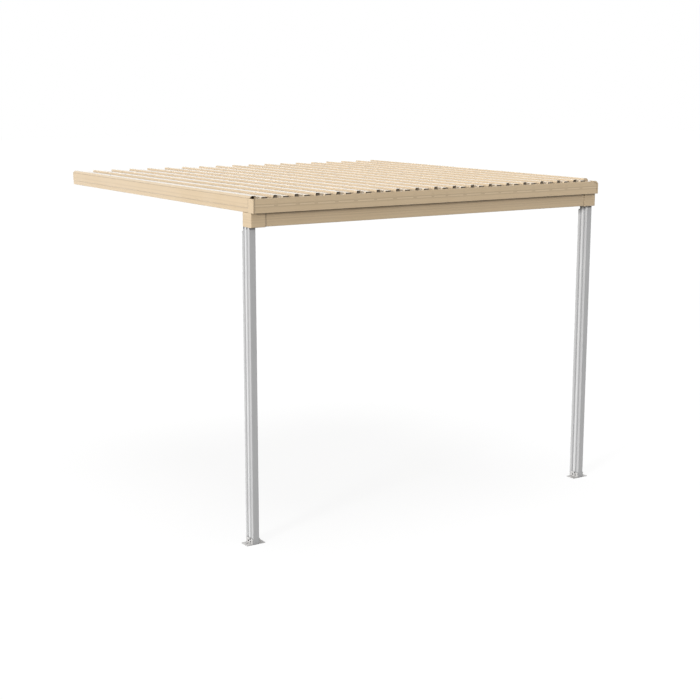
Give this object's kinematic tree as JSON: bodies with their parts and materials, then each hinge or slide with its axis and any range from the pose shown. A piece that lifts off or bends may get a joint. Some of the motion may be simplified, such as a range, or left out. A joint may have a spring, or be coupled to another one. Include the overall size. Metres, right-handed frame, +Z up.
{
  "type": "patio cover",
  "caption": "Attached flat patio cover: ribbed interlocking roof pans between a wall hanger and a gutter fascia, on a front beam and fluted posts with foot brackets.",
  "frame": {"origin": "middle of the wall hanger's back face, on the wall", "axes": "+X along the front, left to right as seen from the yard; +Y into the wall; +Z up"},
  "size_m": [3.139, 3.076, 2.4021],
  "materials": {
    "roof_enamel": "baked enamel, satin",
    "frame_enamel": "baked enamel with an embossed wood grain",
    "post_zinc": "pale grey satin"
  },
  "bodies": {
    "root": {"roof_pan_01": "roof_enamel", "roof_pan_02": "roof_enamel", "roof_pan_03": "roof_enamel", "roof_pan_04": "roof_enamel", "roof_pan_05": "roof_enamel", "roof_pan_06": "roof_enamel", "roof_pan_07": "roof_enamel", "roof_pan_08": "roof_enamel", "roof_pan_09": "roof_enamel", "roof_pan_10": "roof_enamel", "roof_pan_11": "roof_enamel", "roof_pan_12": "roof_enamel", "roof_pan_13": "roof_enamel", "roof_pan_14": "roof_enamel", "roof_pan_15": "roof_enamel", "roof_pan_16": "roof_enamel", "roof_pan_17": "roof_enamel", "roof_pan_18": "roof_enamel", "roof_edge_trim": "roof_enamel", "front_fascia": "frame_enamel", "fascia_end_cap_left": "frame_enamel", "fascia_end_cap_right": "frame_enamel", "side_fascia_left": "frame_enamel", "side_fascia_right": "frame_enamel", "wall_hanger": "frame_enamel", "front_beam": "frame_enamel", "beam_end_cap_left": "frame_enamel", "beam_end_cap_right": "frame_enamel", "post_left": "post_zinc", "post_right": "post_zinc", "foot_bracket_left_outer": "post_zinc", "foot_bracket_left_inner": "post_zinc", "foot_bracket_right_outer": "post_zinc", "foot_bracket_right_inner": "post_zinc"}
  },
  "joints": []
}
